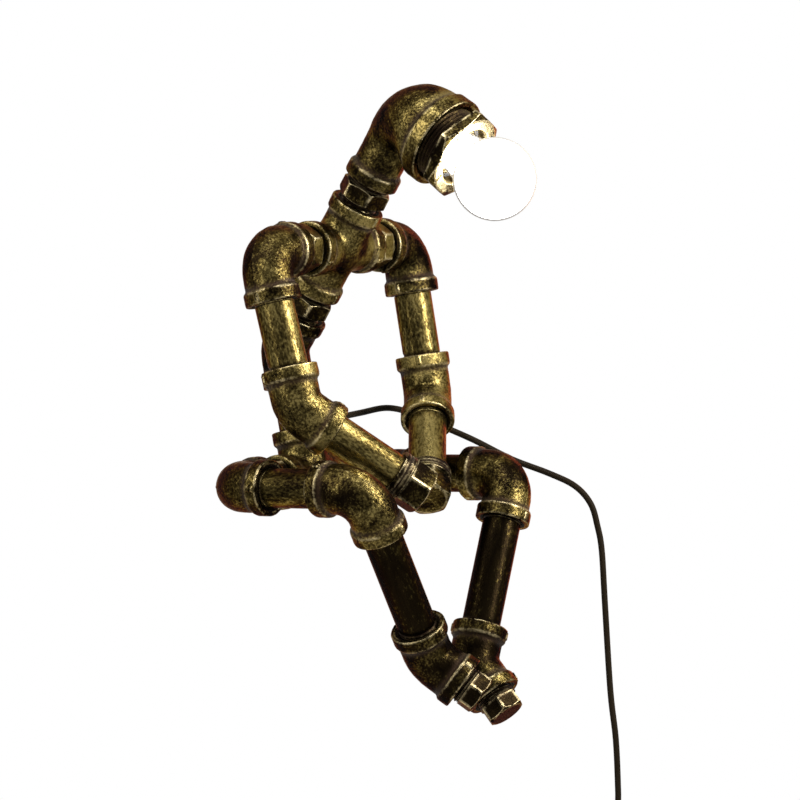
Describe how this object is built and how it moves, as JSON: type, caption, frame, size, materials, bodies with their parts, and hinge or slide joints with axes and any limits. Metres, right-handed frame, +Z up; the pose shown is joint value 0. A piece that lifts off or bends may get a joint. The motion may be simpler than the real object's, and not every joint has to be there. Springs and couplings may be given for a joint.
{
  "type": "robot shaped desk lamp",
  "caption": "Sitting robot desk lamp made of pipe, elbows, tees and hexagon nipples, with a turning head that holds a frosted bulb.",
  "frame": {"origin": "on the plane that the lamp sits on, straight below the centre of the pelvis tee", "axes": "+Z up, -Y the way the robot faces, +X towards its left side"},
  "size_m": [0.2419, 0.1753, 0.5996],
  "materials": {
    "antique_casting": "satin, antique bronze lacquer rubbed to pale gold on the bands and edges, fine casting grain",
    "antique_pipe": "satin, antique bronze lacquer, brushed and mottled, lighter along the middle of the pipe",
    "antique_nipple": "satin, dark antique bronze lacquer rubbed on the hexagon's corners and the thread crests",
    "holder_black": "moulded black phenolic",
    "contact_brass": "plain pressed brass",
    "bulb_glass": "frosted white glass, lit warm white",
    "base_metal": "rolled aluminium screw base",
    "base_insulator": "black glassy insulator",
    "cord_sheath": "very dark brown flexible sheath",
    "outlet_rubber": "matte black rubber",
    "moulded_black": "moulded black plastic with a light grain",
    "rocker_black": "smoother black plastic",
    "screw_steel": "zinc plated steel",
    "blade_metal": "bright brass blades"
  },
  "bodies": {
    "torso": {"pelvis_tee": "antique_casting", "waist_pipe": "antique_pipe", "waist_elbow": "antique_casting", "spine_nipple": "antique_nipple", "chest_cross": "antique_casting", "neck_nipple": "antique_nipple", "right_shoulder_nipple": "antique_nipple", "left_shoulder_nipple": "antique_nipple", "right_hip_nipple": "antique_nipple", "left_hip_nipple": "antique_nipple", "right_hip_elbow": "antique_casting", "right_thigh": "antique_pipe", "left_hip_elbow": "antique_casting", "left_thigh": "antique_pipe", "spine_lead": "cord_sheath", "cord_outlet": "outlet_rubber", "cord": "cord_sheath", "switch_cover": "moulded_black", "switch_base": "moulded_black", "switch_screws": "screw_steel", "cord_lower": "cord_sheath", "cord_coil": "cord_sheath", "coil_tie": "outlet_rubber", "cord_tail": "cord_sheath", "plug_body": "moulded_black", "plug_blades": "blade_metal"},
    "head": {"head_elbow": "antique_casting", "head_bushing": "antique_nipple", "lamp_socket": "holder_black", "socket_shell": "contact_brass", "socket_contact": "contact_brass", "head_lead": "cord_sheath"},
    "bulb": {"bulb_glass": "bulb_glass", "bulb_base": "base_metal", "bulb_tip": "base_insulator"},
    "rocker": {"switch_rocker": "rocker_black"},
    "right_arm": {"right_shoulder_elbow": "antique_casting", "right_upper_arm": "antique_pipe"},
    "right_forearm": {"right_arm_elbow": "antique_casting", "right_forearm": "antique_pipe", "right_hand_cap": "antique_nipple"},
    "right_shin": {"right_knee_elbow": "antique_casting", "right_shin": "antique_pipe"},
    "right_foot": {"right_ankle_elbow": "antique_casting", "right_foot_plug": "antique_nipple"},
    "left_arm": {"left_shoulder_elbow": "antique_casting", "left_upper_arm": "antique_pipe"},
    "left_forearm": {"left_arm_elbow": "antique_casting", "left_forearm": "antique_pipe", "left_hand_cap": "antique_nipple"},
    "left_shin": {"left_knee_elbow": "antique_casting", "left_shin": "antique_pipe"},
    "left_foot": {"left_ankle_elbow": "antique_casting", "left_foot_plug": "antique_nipple"}
  },
  "joints": [
    {"name": "neck_turn", "type": "hinge", "parent": "torso", "child": "head", "pos_m": [0, -0.06758, 0.21733], "axis": [0, -0.5446, 0.8387], "range_deg": [-60, 60]},
    {"name": "bulb_turn", "type": "hinge", "parent": "head", "child": "bulb", "pos_m": [0.00059, -0.12461, 0.1803], "axis": [0.0087, -0.8386, -0.5446], "continuous": true},
    {"name": "right_shoulder_swing", "type": "hinge", "parent": "torso", "child": "right_arm", "pos_m": [-0.0719, -0.02335, 0.14232], "axis": [-0.9986, -0.0439, -0.0285], "range_deg": [0, 60]},
    {"name": "right_forearm_turn", "type": "hinge", "parent": "right_arm", "child": "right_forearm", "pos_m": [-0.06859, -0.04421, 0.05843], "axis": [-0.0383, 0.2411, 0.9697], "range_deg": [-15, 60]},
    {"name": "right_shin_swing", "type": "hinge", "parent": "torso", "child": "right_shin", "pos_m": [-0.072, -0.08899, 0.0168], "axis": [0, 0.9998, -0.0175], "range_deg": [0, 32]},
    {"name": "right_foot_turn", "type": "hinge", "parent": "right_shin", "child": "right_foot", "pos_m": [-0.01265, -0.09064, -0.07816], "axis": [0.5299, -0.0148, -0.8479], "range_deg": [0, 60]},
    {"name": "left_shoulder_swing", "type": "hinge", "parent": "torso", "child": "left_arm", "pos_m": [0.0719, -0.01703, 0.14642], "axis": [-0.9986, -0.0439, -0.0285], "range_deg": [0, 60]},
    {"name": "left_forearm_turn", "type": "hinge", "parent": "left_arm", "child": "left_forearm", "pos_m": [0.07493, -0.0305, 0.06103], "axis": [0.035, -0.1557, -0.9872], "range_deg": [-8, 28]},
    {"name": "left_shin_swing", "type": "hinge", "parent": "torso", "child": "left_shin", "pos_m": [0.072, -0.08897, 0.01758], "axis": [0, -0.9997, 0.0262], "range_deg": [0, 28]},
    {"name": "left_foot_turn", "type": "hinge", "parent": "left_shin", "child": "left_foot", "pos_m": [0.02734, -0.09166, -0.0851], "axis": [0.3987, 0.024, 0.9167], "range_deg": [0, 60]},
    {"name": "switch_rock", "type": "hinge", "parent": "torso", "child": "rocker", "pos_m": [0.13609, -0.12028, -0.207], "axis": [0.6428, -0.766, 0], "range_deg": [-16, 0]}
  ]
}
